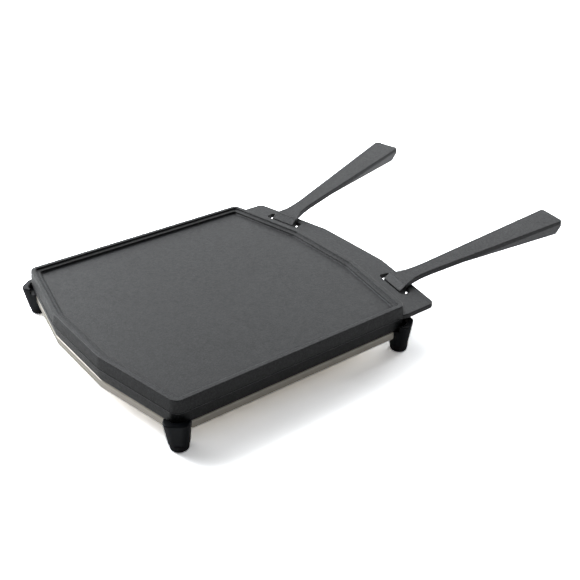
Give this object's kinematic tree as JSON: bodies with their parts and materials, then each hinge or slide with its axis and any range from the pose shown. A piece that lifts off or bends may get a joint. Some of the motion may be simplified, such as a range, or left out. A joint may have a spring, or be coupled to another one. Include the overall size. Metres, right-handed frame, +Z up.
{
  "type": "griddle plate with handles and trivet",
  "caption": "Reversible cast-iron griddle plate with a handle flange and hook-in handles, resting on a low folded-steel trivet with moulded corner feet.",
  "frame": {"origin": "on the floor plane, under the middle of the whole object's box", "axes": "+Z up; +Y from the plate towards the handle tips; +X to the right seen from the front, across the plate"},
  "size_m": [0.344, 0.5632, 0.0846],
  "materials": {
    "plate_iron": "fine cast grain, matt black enamel-like seasoning",
    "handle_iron": "fine cast grain, matt",
    "tray_steel": "brushed stainless sheet",
    "foot_nylon": "satin moulded black plastic",
    "sole_rubber": "matt black rubber",
    "fastener_steel": "zinc-plated steel"
  },
  "bodies": {
    "trivet": {"trivet_tray": "tray_steel", "foot_front_left": "foot_nylon", "foot_sole_front_left": "sole_rubber", "foot_washer_front_left": "fastener_steel", "foot_screw_front_left": "fastener_steel", "tray_nut_front_left": "fastener_steel", "foot_front_right": "foot_nylon", "foot_sole_front_right": "sole_rubber", "foot_washer_front_right": "fastener_steel", "foot_screw_front_right": "fastener_steel", "tray_nut_front_right": "fastener_steel", "foot_rear_left": "foot_nylon", "foot_sole_rear_left": "sole_rubber", "foot_washer_rear_left": "fastener_steel", "foot_screw_rear_left": "fastener_steel", "tray_nut_rear_left": "fastener_steel", "foot_rear_right": "foot_nylon", "foot_sole_rear_right": "sole_rubber", "foot_washer_rear_right": "fastener_steel", "foot_screw_rear_right": "fastener_steel", "tray_nut_rear_right": "fastener_steel"},
    "plate": {"griddle_plate": "plate_iron"},
    "handle_left": {"handle_left": "handle_iron"},
    "handle_right": {"handle_right": "handle_iron"}
  },
  "joints": [
    {"name": "plate_lift", "type": "slide", "parent": "trivet", "child": "plate", "axis": [0, 0, 1], "range_m": [0, 0.08]},
    {"name": "handle_left_tilt", "type": "hinge", "parent": "plate", "child": "handle_left", "pos_m": [-0.10324, 0.05891, 0.0444], "axis": [0.9811, 0.1935, 0], "range_deg": [0, 85]},
    {"name": "handle_right_tilt", "type": "hinge", "parent": "plate", "child": "handle_right", "pos_m": [0.10324, 0.05891, 0.0444], "axis": [0.9811, -0.1935, 0], "range_deg": [0, 85]}
  ]
}
